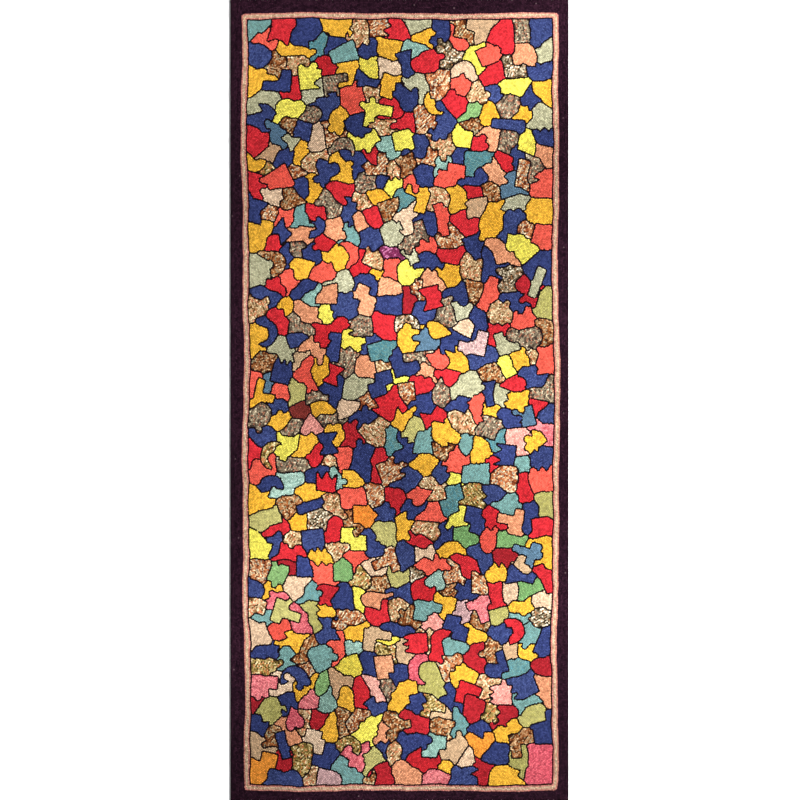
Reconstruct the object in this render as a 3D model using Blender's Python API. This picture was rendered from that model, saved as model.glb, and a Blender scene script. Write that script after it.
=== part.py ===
"""A long hooked rug, lying flat: one mat of yarn loops on a woven foundation.

The mat is one solid. Its underside is flat at z = 0, its length runs along Y, and the loops
round over at the rim and rise and fall a little across the top.
"""

import bmesh
import bpy

# Driving dimensions, in metres.
RUG_WIDTH = 0.965
RUG_LENGTH = 2.286
RUG_THICKNESS = 0.008       # foundation, back loops and pile together
CORNER_RADIUS = 0.005       # the loops turn each corner instead of meeting in a point
RIM_ROUND = 0.004           # how far the outer loops lean over the edge
UNEVEN_HEIGHT = 0.0012      # hand-pulled loops differ in height
UNEVEN_SPACING = 0.16       # size of the high and low patches

# How finely the faces are cut.
CELL = 0.068                # side of one cell of the top and the underside
CORNER_SEGMENTS = 3
RIM_SEGMENTS = 3

# Average look of the yarns together.
YARN_COLOUR = (0.33, 0.16, 0.10, 1.0)
YARN_ROUGHNESS = 0.95

COLLECTION_NAME = "hooked_rug"
PILE_GROUP = "pile_top"
TOUCH = 1e-6                # two heights nearer than this are the same


def clear_scene():
    for item in list(bpy.data.objects):
        bpy.data.objects.remove(item, do_unlink=True)


def new_collection(name):
    collection = bpy.data.collections.new(name)
    bpy.context.scene.collection.children.link(collection)
    return collection


def yarn_material():
    material = bpy.data.materials.new("hooked_yarn")
    material.use_nodes = True
    shader = material.node_tree.nodes["Principled BSDF"]
    shader.inputs["Base Color"].default_value = YARN_COLOUR
    shader.inputs["Roughness"].default_value = YARN_ROUGHNESS
    shader.inputs["Metallic"].default_value = 0.0
    return material


def slab(mesh_data):
    """Raise a grid of cells into a closed slab, its underside at z = 0."""
    bmesh.ops.create_grid(
        mesh_data,
        x_segments=round(RUG_WIDTH / CELL),
        y_segments=round(RUG_LENGTH / CELL),
        size=0.5,
    )
    bmesh.ops.scale(mesh_data, vec=(RUG_WIDTH, RUG_LENGTH, 1.0), verts=mesh_data.verts)
    raised = bmesh.ops.extrude_face_region(
        mesh_data, geom=list(mesh_data.faces), use_keep_orig=True
    )
    top = [item for item in raised["geom"] if isinstance(item, bmesh.types.BMVert)]
    bmesh.ops.translate(mesh_data, vec=(0.0, 0.0, RUG_THICKNESS), verts=top)
    bmesh.ops.recalc_face_normals(mesh_data, faces=mesh_data.faces)


def is_corner(edge):
    """True for the four upright edges where two sides meet."""
    upright = abs(edge.verts[0].co.z - edge.verts[1].co.z) > TOUCH
    place = edge.verts[0].co
    at_side = abs(abs(place.x) - RUG_WIDTH / 2) < TOUCH
    at_end = abs(abs(place.y) - RUG_LENGTH / 2) < TOUCH
    return upright and at_side and at_end


def is_top_rim(edge):
    """True for the edges between the top and a side."""
    at_top = all(abs(vert.co.z - RUG_THICKNESS) < TOUCH for vert in edge.verts)
    return at_top and edge.calc_face_angle(0.0) > 1.0


def round_edges(mesh_data, chooser, radius, segments):
    edges = [edge for edge in mesh_data.edges if chooser(edge)]
    bmesh.ops.bevel(
        mesh_data,
        geom=edges,
        offset=radius,
        offset_type="OFFSET",
        segments=segments,
        profile=0.5,
        affect="EDGES",
        material=-1,
    )


def pile_unevenness(rug):
    """Let the top rise and fall softly, and leave the rim and the underside as they are."""
    group = rug.vertex_groups.new(name=PILE_GROUP)
    inset_x = RUG_WIDTH / 2 - CELL / 2
    inset_y = RUG_LENGTH / 2 - CELL / 2
    top = [
        vert.index
        for vert in rug.data.vertices
        if vert.co.z > RUG_THICKNESS - TOUCH
        and abs(vert.co.x) < inset_x
        and abs(vert.co.y) < inset_y
    ]
    group.add(top, 1.0, "REPLACE")
    texture = bpy.data.textures.new("loop_height", "CLOUDS")
    texture.noise_scale = UNEVEN_SPACING
    texture.noise_depth = 1
    displace = rug.modifiers.new("loop_height", "DISPLACE")
    displace.texture = texture
    displace.texture_coords = "LOCAL"
    displace.direction = "Z"
    displace.mid_level = 0.5
    displace.strength = UNEVEN_HEIGHT
    displace.vertex_group = PILE_GROUP


def build_rug(collection):
    mesh_data = bmesh.new()
    slab(mesh_data)
    round_edges(mesh_data, is_corner, CORNER_RADIUS, CORNER_SEGMENTS)
    round_edges(mesh_data, is_top_rim, RIM_ROUND, RIM_SEGMENTS)
    mesh = bpy.data.meshes.new("rug")
    mesh_data.to_mesh(mesh)
    mesh_data.free()
    rug = bpy.data.objects.new("rug", mesh)
    collection.objects.link(rug)
    rug.data.materials.append(yarn_material())
    pile_unevenness(rug)
    return rug


def main():
    clear_scene()
    build_rug(new_collection(COLLECTION_NAME))


main()
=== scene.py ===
"""A long hooked rug, made loop by loop: every loop of yarn is a small cell with a raised top.

The patches are grown from plain shapes until they meet, each border between two patches is
hooked as one black row, and the rest is filled with rows of loops.
"""

import functools
import math

import bmesh
import bpy
import numpy as np
from bpy.props import FloatProperty, FloatVectorProperty, IntProperty, PointerProperty
from bpy.types import Operator, Panel, PropertyGroup
from mathutils import Matrix, Vector
from mathutils.geometry import delaunay_2d_cdt
from mathutils.kdtree import KDTree


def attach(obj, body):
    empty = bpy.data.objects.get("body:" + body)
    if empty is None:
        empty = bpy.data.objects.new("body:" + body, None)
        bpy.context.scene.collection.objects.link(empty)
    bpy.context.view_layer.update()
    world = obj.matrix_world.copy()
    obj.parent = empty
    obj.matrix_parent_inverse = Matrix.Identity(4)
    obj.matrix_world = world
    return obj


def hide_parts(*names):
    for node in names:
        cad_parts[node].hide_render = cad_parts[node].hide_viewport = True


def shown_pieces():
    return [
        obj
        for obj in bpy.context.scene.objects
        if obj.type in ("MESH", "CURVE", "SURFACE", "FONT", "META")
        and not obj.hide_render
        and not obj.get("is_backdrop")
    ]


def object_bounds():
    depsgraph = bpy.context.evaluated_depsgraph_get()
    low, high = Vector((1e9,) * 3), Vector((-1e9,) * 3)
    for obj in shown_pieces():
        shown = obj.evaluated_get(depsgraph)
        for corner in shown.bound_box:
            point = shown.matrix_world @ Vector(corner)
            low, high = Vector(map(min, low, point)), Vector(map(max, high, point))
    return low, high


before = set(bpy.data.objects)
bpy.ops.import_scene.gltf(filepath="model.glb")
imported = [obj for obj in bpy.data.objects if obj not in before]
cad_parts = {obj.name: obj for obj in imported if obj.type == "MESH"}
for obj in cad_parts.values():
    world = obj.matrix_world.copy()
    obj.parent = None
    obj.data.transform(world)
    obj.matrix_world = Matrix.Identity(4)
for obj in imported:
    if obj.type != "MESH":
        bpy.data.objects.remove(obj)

bl_info = {
    "name": "Hooked rug",
    "version": (1, 0, 0),
    "blender": (4, 5, 0),
    "location": "View3D > Sidebar > Hooked Rug",
    "description": "Builds a long hooked rug with a field of outlined patches",
    "category": "Add Mesh",
}

CAD_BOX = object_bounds()
HALF_WIDTH = float(CAD_BOX[1][0])
HALF_LENGTH = float(CAD_BOX[1][1])

NODE = "rug"
BODY = "root"
MM = 0.001
PHOTO_PIXEL = 2 * HALF_LENGTH / 800

# Yarns of one colour: name, colour, the colour it is blended with in some patches, and the share
# of patches that use it at the top, in the middle and at the foot. Colours are 0 to 255.
PLAIN_YARNS = (
    ("navy", (50, 60, 110), (62, 74, 122), (40, 38, 34)),
    ("slate", (94, 124, 146), (72, 98, 124), (1, 0.3, 0.3)),
    ("teal", (120, 160, 154), (76, 124, 132), (3, 6, 5)),
    ("mist", (136, 174, 162), (162, 190, 176), (1.5, 5, 2.5)),
    ("sage", (178, 175, 140), (192, 190, 160), (26, 2, 0.5)),
    ("green", (138, 178, 114), (112, 156, 96), (0.3, 6, 6.5)),
    ("olive", (194, 186, 116), (162, 156, 88), (0.5, 12, 18)),
    ("lemon", (237, 225, 94), (228, 206, 76), (9, 7, 1.5)),
    ("gold", (236, 178, 60), (230, 168, 50), (30, 27, 15)),
    ("orange", (238, 152, 58), (230, 130, 50), (2.5, 1, 6)),
    ("coral", (237, 96, 79), (228, 84, 70), (17, 17, 2)),
    ("red", (206, 46, 54), (192, 38, 45), (18, 19, 9)),
    ("crimson", (178, 38, 46), (148, 34, 42), (1.2, 1, 15)),
    ("brick", (126, 50, 44), (104, 40, 38), (0.2, 0.3, 1.2)),
    ("rose", (212, 88, 102), (228, 130, 132), (0.5, 6, 22)),
    ("pink", (230, 150, 138), (236, 176, 160), (2.5, 7, 14)),
    ("peach", (220, 146, 107), (228, 164, 124), (24, 26, 30)),
    ("beige", (221, 187, 154), (230, 201, 170), (5, 5, 9)),
    ("tan", (206, 172, 134), (188, 148, 112), (9, 14, 24)),
    ("mauve", (188, 150, 150), (208, 174, 168), (1, 0.6, 2.5)),
    ("plum", (118, 44, 80), (178, 104, 142), (0.1, 0.2, 0.3)),
)
# Yarns twisted from several colours: name, their flecks from dark to light, that of odd loops,
# and the same shares.
FLECKED_YARNS = (
    ("tweed_rust", ((106, 50, 30), (158, 82, 46), (200, 128, 82), (218, 180, 138), (236, 212, 172)),
     (142, 142, 126), (21, 20, 15)),
    ("tweed_grey", ((74, 60, 52), (108, 92, 76), (140, 124, 102), (168, 152, 124), (204, 190, 160)),
     (160, 96, 72), (11, 7, 10)),
    ("tweed_brown", ((76, 38, 20), (120, 66, 34), (166, 100, 56), (188, 142, 98), (220, 184, 140)),
     (134, 132, 104), (8, 8, 12)),
    ("tweed_cream", ((112, 76, 44), (170, 124, 80), (196, 164, 120), (220, 190, 148), (240, 218, 176)),
     (196, 106, 72), (20, 20, 16)),
    ("tweed_olive", ((78, 58, 26), (126, 106, 52), (170, 142, 80), (196, 174, 116), (230, 210, 162)),
     (180, 98, 54), (3, 8, 14)),
    ("tweed_black", ((40, 26, 16), (92, 76, 52), (146, 130, 104), (202, 186, 158), (240, 228, 200)),
     (152, 100, 62), (1.5, 3, 5)),
)
ZONES = (0.1, 0.36, 0.56)   # how far up the field the foot, the middle and the top shares hold
# Yarns of the border and the outlines.
EDGE_YARNS = (
    ("margin", (25, 8, 21), (52, 27, 40)),
    ("band_rose", (222, 148, 132), (178, 104, 96)),
    ("band_tan", (228, 200, 168), (178, 140, 108)),
    ("outlines", (14, 6, 8), (30, 18, 22)),
)
MARGIN, BAND_ROSE, BAND_TAN, OUTLINES, FIRST_YARN = range(5)
OUTSIDE = -1                # the number that stands for a yarn beyond the rug's edge
YARN_NAMES = [row[0] for row in EDGE_YARNS + PLAIN_YARNS + FLECKED_YARNS]


def light_of(colour):
    """A colour given as 0 to 255, as the amounts of light that shaders take."""
    shares = [value / 255 for value in colour]
    return tuple(s / 12.92 if s <= 0.04045 else ((s + 0.055) / 1.055) ** 2.4 for s in shares)


# ---------------------------------------------------------------- settings


def length_setting(name, description, millimetres, least=0.0):
    """A setting that is a length."""
    return FloatProperty(
        name=name, description=description, default=millimetres * MM, min=least * MM, unit="LENGTH"
    )


class HookedRugSizes(PropertyGroup):
    """How the rug is divided, and how its loops stand"""

    row_width: length_setting("Row width", "Width of one row of loops", 3.7, 2)
    loop_length: length_setting("Loop length", "Distance between loops along a row", 4.7, 2)
    left_border: length_setting("Left border", "From the rug's left edge to the patches", 54.5)
    right_border: length_setting("Right border", "From the rug's right edge to the patches", 48.8)
    top_border: length_setting("Top border", "From the rug's top edge to the patches", 58.4)
    bottom_border: length_setting("Bottom border", "From the rug's bottom edge to the patches", 47.0)
    band_row: length_setting("Band row", "Width of each row of the black, rose and tan band", 3.8)
    tan_rows: IntProperty(
        name="Tan rows", description="Rows of tan loops between the rose ones", default=2, min=1,
    )
    patches_across: IntProperty(
        name="Patches across", description="Patches in one row of the field", default=16, min=2,
    )
    patches_along: IntProperty(
        name="Patches along", description="Rows of patches in the field", default=39, min=2,
    )
    valley: length_setting("Valley height", "Height of the dips between loops", 6.6)
    crest: length_setting("Crest height", "Height of the tops of the loops", 8.0)
    cloth: length_setting("Foundation", "Thickness of the foundation cloth and its back stitches", 2.0)


def colour_setting(name, colour):
    """A setting that is a yarn's colour."""
    return FloatVectorProperty(
        name=name.replace("_", " ").capitalize(),
        description=f"Colour of the {name.replace('_', ' ')} yarn",
        subtype="COLOR", size=3, min=0.0, max=1.0, default=light_of(colour),
    )


HookedRugColours = type(
    "HookedRugColours",
    (PropertyGroup,),
    {
        "__doc__": "The colour of each yarn",
        "__annotations__": {row[0]: colour_setting(row[0], row[1]) for row in EDGE_YARNS + PLAIN_YARNS},
    },
)


class HookedRugStage(PropertyGroup):
    """Floor, light and camera"""

    camera_height: FloatProperty(
        name="Camera height", description="Height of the camera above the floor",
        default=9.0, unit="LENGTH",
    )
    lamp_side: FloatProperty(
        name="Lamp distance", description="From the rug's middle to each lamp, sideways",
        default=2.2, unit="LENGTH",
    )
    lamp_height: FloatProperty(
        name="Lamp height", description="Height of the lamps above the floor", default=2.6, unit="LENGTH",
    )
    lamp_power: FloatProperty(
        name="Left lamp", description="Power of the left lamp", default=20.3, unit="POWER",
    )
    right_share: FloatProperty(
        name="Right lamp", description="How many times as strong the right lamp is", default=18.0, min=0.0,
    )
    sky: FloatProperty(
        name="Sky light", description="Strength of the even light from all round", default=0.26,
    )


# ---------------------------------------------------------------- layout of the field


def arc(x, y, radius, start, end, steps):
    """Points along an arc, its angles in degrees."""
    angles = np.radians(np.linspace(start, end, steps))
    return [(x + radius * math.cos(a), y + radius * math.sin(a)) for a in angles]


# Plain shapes that patches start from, about two units across: how often each is used as a
# leading patch and as a filling one between those, and its outline.
SHAPES = {
    "block": (2, 6, [(-0.9, -0.8), (0.8, -0.9), (0.9, 0.8), (-0.8, 0.85)]),
    "keystone": (3, 6, [(-0.55, -1.0), (0.55, -1.0), (0.95, 1.0), (-0.95, 1.0)]),
    "gable": (2, 3, [(-0.8, -0.9), (0.8, -0.9), (0.8, 0.3), (0.0, 1.0), (-0.8, 0.3)]),
    "bar": (6, 2, [(-0.42, -1.2), (0.42, -1.2), (0.5, 1.2), (-0.5, 1.2)]),
    "saw": (
        5, 2,
        [(-0.9, -0.9), (0.9, -0.9), (0.9, 0.4), (0.6, 1.0), (0.3, 0.4), (0.0, 1.0), (-0.3, 0.4),
         (-0.6, 1.0), (-0.9, 0.4)],
    ),
    "crown": (
        3, 1,
        [(-0.9, -0.8), (0.9, -0.8), (1.0, 0.9), (0.45, 0.2), (0.0, 1.0), (-0.45, 0.2), (-1.0, 0.9)],
    ),
    "bow": (4, 0, [(-1.0, -0.85), (0.0, -0.3), (1.0, -0.85), (1.0, 0.85), (0.0, 0.3), (-1.0, 0.85)]),
    "corner": (7, 2, [(-1.0, -1.0), (1.0, -1.0), (1.0, -0.2), (-0.15, -0.2), (-0.15, 1.0), (-1.0, 1.0)]),
    "tee": (
        4, 0,
        [(-0.4, -1.1), (0.4, -1.1), (0.4, 0.2), (1.1, 0.2), (1.1, 1.0), (-1.1, 1.0), (-1.1, 0.2),
         (-0.4, 0.2)],
    ),
    "step": (
        4, 1,
        [(-1.1, -0.95), (0.35, -0.95), (0.35, -0.2), (1.1, -0.2), (1.1, 0.95), (-0.35, 0.95),
         (-0.35, 0.2), (-1.1, 0.2)],
    ),
    "arch": (7, 0, arc(0, -0.1, 1.1, -15, 195, 11) + arc(0, -0.1, 0.4, 200, -20, 6)),
    "moon": (4, 0, arc(0, 0, 1.1, 65, 295, 10) + arc(0.62, 0, 1.0, 245, 115, 8)),
    "leaf": (2, 1, arc(0, -0.75, 1.35, 35, 145, 7) + arc(0, 0.75, 1.35, 215, 325, 7)),
    "stone": (4, 3, [(-0.75, -0.95), (0.75, -0.95), *arc(0, 0.1, 0.78, 0, 180, 8)]),
    "heart": (
        4, 0,
        [(0.0, -1.05), *arc(0.48, 0.35, 0.52, -30, 165, 7), *arc(-0.48, 0.35, 0.52, 15, 210, 7)],
    ),
    "flask": (2, 0, [(-0.34, 1.15), (-0.34, 0.2), (-0.9, -0.9), (0.9, -0.9), (0.34, 0.2), (0.34, 1.15)]),
    "fan": (3, 2, [(-0.9, -0.9), *arc(-0.9, -0.9, 1.8, 0, 90, 8)]),
    "drop": (3, 1, [(0.0, -1.15), *arc(0, 0.3, 0.75, -20, 200, 10)]),
    "bolt": (3, 1, [(-0.9, 0.2), (0.1, 1.1), (0.25, 0.3), (0.95, 0.35), (0.0, -1.1), (-0.2, -0.25)]),
    "bend": (
        4, 0,
        [(-1.2, 0.2), (-0.6, 0.8), (0.3, 0.35), (1.0, 0.8), (1.2, 0.1), (0.4, -0.5), (-0.5, -0.1),
         (-1.1, -0.6)],
    ),
}
LAYOUT_SEED = 7
CELL = 1.5 * MM             # side of one square of the drawing that the patches are laid out on
SHAPE_REACH = 75 * MM       # how far from its middle a patch may reach
THROW_SHRINK = 0.9998       # how the gap between patch middles shrinks with each throw
EDGE_GAP = 0.24             # from the field's edge to the nearest middles, in patch widths
LEAD_GAP = 1.3              # between patches that keep their shape whole, in patch widths
LEAD_SIZE = 1.2             # how much bigger those are drawn
HOLD_BACK = 12 * MM         # how much a whole shape yields outside its own outline
SHAKE = 0.05                # how far a shape's corners stray, in its own units
SIZES = (0.95, 1.1)         # how far shapes differ in size
WIDTHS = (0.85, 1.05)       # and in width
HEIGHTS = (0.95, 1.2)       # and in height
TILT = 24                   # how far a shape is turned from upright or level, in degrees
SOFTEN = 2.7 * MM           # corners are rounded, and necks under twice this are closed
SMALLEST = 700 * MM * MM    # patches under this area go to their neighbours
LINK_ROUNDS = 6             # how often in a row the squares of a region look for its first one
FIRST_JUMP = 32             # squares that labels jump at first when they spread
TONGUE_SHARE = 0.13         # borders that one patch pushes a tongue or tooth across
TONGUE_BORDER = 28 * MM     # the shortest of those borders
TONGUE_STRAY = 0.3          # how far they turn from the way between the middles, in radians
TONGUE_DEPTHS = (0.5, 0.8)  # how deep they go, as a share of the way to the other patch's middle
TONGUE_DEEPEST = 22 * MM
TONGUE_WIDTHS = (0.36, 0.5)     # how wide they are, as a share of the border
TONGUE_WIDEST = 15 * MM
TONGUE_ROOT = 4 * MM        # how far they reach back into their own patch
TONGUE_REACH = 40 * MM      # a square that is further from a tongue's root than this is left alone
TONGUE_KINDS = {"tongue": 0.35, "tooth": 0.25, "teeth": 0.25, "lobes": 0.15}


class Field:
    """The rectangle of patches inside the border, before its edges are made to wander."""

    def __init__(self, sizes):
        self.low = np.array([-HALF_WIDTH + sizes.left_border, -HALF_LENGTH + sizes.bottom_border])
        self.high = np.array([HALF_WIDTH - sizes.right_border, HALF_LENGTH - sizes.top_border])
        self.size = self.high - self.low
        self.cells = np.round(self.size / CELL).astype(int)

    def index(self, points):
        """The column and row of the drawing's square at each point."""
        found = ((points - self.low) / self.size * self.cells).astype(int)
        return np.clip(found, 0, self.cells - 1)

    def holds(self, points):
        """True for the points inside the field."""
        return np.all((points > self.low) & (points < self.high), axis=1)


def outline_distance(x, y, corners):
    """Distance to a closed outline, negative inside it."""
    nearest = np.full(x.shape, np.inf)
    inside = np.zeros(x.shape, bool)
    for (ax, ay), (bx, by) in zip(corners, np.roll(corners, -1, axis=0)):
        ex, ey = bx - ax, by - ay
        along = np.clip(((x - ax) * ex + (y - ay) * ey) / (ex * ex + ey * ey), 0, 1)
        nearest = np.minimum(nearest, (x - ax - along * ex) ** 2 + (y - ay - along * ey) ** 2)
        if ey:
            inside ^= ((ay > y) != (by > y)) & (x < ex * (y - ay) / ey + ax)
    return np.where(inside, -1, 1) * np.sqrt(nearest)


def placed_shape(rng, middle, half, leads):
    """One of the shapes, shaken a little, turned and moved to its place."""
    shares = np.array([shape[0 if leads else 1] for shape in SHAPES.values()], float)
    corners = np.array(list(SHAPES.values())[rng.choice(len(shares), p=shares / shares.sum())][2])
    corners = corners + rng.uniform(-SHAKE, SHAKE, corners.shape)
    half *= LEAD_SIZE if leads else 1.0
    size, width, height = (rng.uniform(*limits) for limits in (SIZES, WIDTHS, HEIGHTS))
    corners *= half * size * np.array([width, height])
    turn = math.radians(rng.choice([0, 90, 180, 270]) + rng.uniform(-TILT, TILT))
    cos, sin = math.cos(turn), math.sin(turn)
    return corners @ np.array([[cos, sin], [-sin, cos]]) + middle


def patch_middles(field, pitch, count, rng):
    """Scatter the middles of the patches well apart, and pick those that keep their shape whole."""
    middles = np.full((count, 2), np.inf)
    leads = np.zeros(count, bool)
    gap = pitch.mean()
    placed = 0
    while placed < count:
        place = field.low + EDGE_GAP * pitch + rng.random(2) * (field.size - 2 * EDGE_GAP * pitch)
        away = np.hypot(*(middles - place).T)
        if away.min() > gap:
            middles[placed] = place
            leads[placed] = not np.any(leads & (away < LEAD_GAP * pitch[0]))
            placed += 1
        gap *= THROW_SHRINK
    return middles, leads


def grown_patches(field, sizes, rng):
    """Number the drawing's squares by patch: each shape takes what is nearest to it."""
    columns, rows = field.cells
    labels = np.full((rows, columns), -1)
    nearest = np.full((rows, columns), np.inf)
    pitch = field.size / (sizes.patches_across, sizes.patches_along)
    whole = []
    middles, leads = patch_middles(field, pitch, sizes.patches_across * sizes.patches_along, rng)
    for number, middle in enumerate(middles):
        corners = placed_shape(rng, middle, pitch[0] / 2, leads[number])
        first = field.index(middle - SHAPE_REACH)
        last = field.index(middle + SHAPE_REACH) + 1
        x = field.low[0] + (np.arange(first[0], last[0]) + 0.5) * CELL
        y = field.low[1] + (np.arange(first[1], last[1]) + 0.5) * CELL
        distance = outline_distance(*np.meshgrid(x, y), corners)
        window = np.s_[first[1]:last[1], first[0]:last[0]]
        if leads[number]:
            whole.append((number, window, distance < 0))
            distance = np.where(distance > 0, distance + HOLD_BACK, distance)
        closer = distance < nearest[window]
        nearest[window][closer] = distance[closer]
        labels[window][closer] = number
    for number, window, inside in whole:
        labels[window][inside] = number
    return labels


def shifts(shape, dx, dy):
    """The parts of a drawing that lie over each other when it is moved by dx and dy."""
    rows, columns = shape
    y0, y1, x0, x1 = max(0, dy), min(rows, rows + dy), max(0, dx), min(columns, columns + dx)
    return np.s_[y0:y1, x0:x1], np.s_[y0 - dy:y1 - dy, x0 - dx:x1 - dx]


def connected(labels):
    """Number each connected region of equal labels."""
    region = np.arange(labels.size).reshape(labels.shape)
    sides = [shifts(labels.shape, *move) for move in ((1, 0), (0, 1))]
    joins = [(labels[here] == labels[there], here, there) for here, there in sides]
    while True:
        before = region.copy()
        for same, here, there in joins:
            for one, other in ((here, there), (there, here)):
                low = np.minimum(region[one], region[other])
                region[one] = np.where(same, low, region[one])
        flat = region.ravel()
        for _ in range(LINK_ROUNDS):
            flat = flat[flat]
        region = flat.reshape(labels.shape)
        if np.array_equal(region, before):
            return np.unique(region, return_inverse=True)[1].reshape(labels.shape)


def cores(labels, radius):
    """True where every square within radius has the same label."""
    reach = int(radius / CELL)
    core = np.ones(labels.shape, bool)
    for dy in range(-reach, reach + 1):
        for dx in range(-reach, reach + 1):
            if (dx, dy) <= (0, 0) or math.hypot(dx, dy) * CELL > radius:
                continue
            here, there = shifts(labels.shape, dx, dy)
            differ = labels[here] != labels[there]
            core[here] &= ~differ
            core[there] &= ~differ
    return core


def spread(labels, known):
    """Give every square the label of the nearest known one, by jumps of halving length."""
    row, column = np.indices(labels.shape)
    far = 10 * max(labels.shape)    # stands for no place known yet
    at_row, at_column = np.where(known, row, far), np.where(known, column, far)
    jump = FIRST_JUMP
    while jump:
        for dx, dy in ((x, y) for y in (-jump, 0, jump) for x in (-jump, 0, jump) if x or y):
            here, there = shifts(labels.shape, dx, dy)
            now = (at_row[here] - row[here]) ** 2 + (at_column[here] - column[here]) ** 2
            new = (at_row[there] - row[here]) ** 2 + (at_column[there] - column[here]) ** 2
            at_row[here] = np.where(new < now, at_row[there], at_row[here])
            at_column[here] = np.where(new < now, at_column[there], at_column[here])
        jump //= 2
    return labels[at_row, at_column]


def cleaned(labels):
    """Round the patches' corners, and give slivers and crumbs to their neighbours."""
    labels = spread(labels, cores(labels, SOFTEN))
    region = connected(labels)
    area = np.bincount(region.ravel()) * CELL ** 2
    return connected(spread(region, area[region] > SMALLEST))


def meetings(labels):
    """The squares along each border, keyed by the two patches that meet there."""
    meets = {}
    for move in ((1, 0), (0, 1)):
        here, there = shifts(labels.shape, *move)
        one, other = labels[here], labels[there]
        rows, columns = np.nonzero(one != other)
        low = np.minimum(one, other)[rows, columns]
        high = np.maximum(one, other)[rows, columns]
        for key, place in zip(zip(low.tolist(), high.tolist()), zip(columns.tolist(), rows.tolist())):
            meets.setdefault(key, []).append(place)
    return meets


def tongue_mask(kind, along, aside, deep, wide):
    """True inside a tongue, tooth, pair of teeth or pair of lobes that points along."""
    rooted = along > -TONGUE_ROOT
    if kind == "tongue":
        radius = 0.6 * wide
        return (np.hypot(np.maximum(along - deep + radius, 0), aside) < radius) & rooted
    if kind == "tooth":
        return (np.abs(aside) < wide * (1 - along / deep)) & rooted
    apart = 0.8 * wide
    pair = np.minimum(np.abs(aside - apart), np.abs(aside + apart))
    if kind == "teeth":
        return (pair < apart * (1 - along / (0.7 * deep))) & rooted
    return np.hypot(along - 0.1 * deep, pair) < 0.75 * wide


def push_tongues(labels, rng):
    """Push a tongue, a tooth or two, or two lobes across some borders."""
    row, column = np.indices(labels.shape)
    area = np.bincount(labels.ravel())
    middles = np.stack(
        [np.bincount(labels.ravel(), place.ravel()) / area * CELL for place in (column, row)], axis=1
    )
    for pair, squares in sorted(meetings(labels).items()):
        length = len(squares) * CELL
        if length < TONGUE_BORDER or rng.random() > TONGUE_SHARE:
            continue
        giver, taker = pair if rng.random() < 0.5 else pair[::-1]
        squares = np.array(squares) * CELL
        root = squares[np.argmin(((squares - squares.mean(0)) ** 2).sum(1))]
        room = math.dist(middles[taker], root)
        way = math.atan2(*(middles[taker] - middles[giver])[::-1]) + rng.normal(0, TONGUE_STRAY)
        deep = min(room * rng.uniform(*TONGUE_DEPTHS), TONGUE_DEEPEST)
        wide = min(length * rng.uniform(*TONGUE_WIDTHS), TONGUE_WIDEST)
        kind = rng.choice(list(TONGUE_KINDS), p=list(TONGUE_KINDS.values()))
        x, y = column * CELL - root[0], row * CELL - root[1]
        near = (np.abs(x) < TONGUE_REACH) & (np.abs(y) < TONGUE_REACH) & (labels == taker)
        x, y = x[near], y[near]
        along = x * math.cos(way) + y * math.sin(way)
        aside = y * math.cos(way) - x * math.sin(way)
        taken = near.copy()
        taken[near] = tongue_mask(kind, along, aside, deep, wide)
        labels[taken] = giver
    return labels


@functools.cache
def patch_drawing():
    """The numbered patches. Both faces of the rug are hooked from the same drawing."""
    sizes = bpy.context.scene.hooked_rug_sizes
    field = Field(sizes)
    rng = np.random.default_rng(LAYOUT_SEED)
    labels = cleaned(grown_patches(field, sizes, rng))
    return field, cleaned(push_tongues(labels, rng))


# ---------------------------------------------------------------- yarns of the patches

YARN_SEED = 65
CLASH = 110                 # yarns nearer in colour than this seldom lie side by side
LIKE_SHARE = 0.1            # two patches of one yarn do so by the square of this share
TWEED_SLANT = 0.85          # how steeply the rows of flecked patches slant, in radians
SLANT_STRAY = 0.25
RISING_SHARE = 0.85         # how many of those patches slant upwards
MOST_TURN = 1.2             # how steeply, at most, the rows of plain patches slant, in radians
BLENDED_SHARE = 0.4         # how many patches are blended with the yarn's second colour
BLENDED = (0.3, 1.0)        # how far those are
UNBLENDED = (0, 0.15)       # and how far the others are


def yarn_contrasts():
    """How readily each two yarns lie side by side, from 0 to 1."""
    colours = [row[1] for row in PLAIN_YARNS] + [np.mean(row[1], axis=0) for row in FLECKED_YARNS]
    colours = np.array(colours, float)
    apart = np.sqrt(((colours[:, None] - colours) ** 2).sum(axis=2))
    return np.clip(apart / CLASH, LIKE_SHARE, 1) ** 2


def patch_yarns(labels, rng):
    """Pick a yarn for each patch: neighbours are seldom alike, and the shares change up the rug."""
    count = labels.max() + 1
    row = np.indices(labels.shape)[0]
    height = np.bincount(labels.ravel(), row.ravel()) / np.bincount(labels.ravel()) / labels.shape[0]
    neighbours = [set() for _ in range(count)]
    for (one, other), squares in meetings(labels).items():
        if len(squares) > 2:
            neighbours[one].add(other)
            neighbours[other].add(one)
    shares = [row[3][::-1] for row in PLAIN_YARNS + FLECKED_YARNS]
    contrasts = yarn_contrasts()
    yarn = np.full(count, -1)
    for patch in rng.permutation(count):
        weight = np.array([np.interp(height[patch], ZONES, share) for share in shares])
        for other in neighbours[patch]:
            if yarn[other] >= 0:
                weight *= contrasts[yarn[other]]
        yarn[patch] = rng.choice(len(weight), p=weight / weight.sum())
    return yarn


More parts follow.
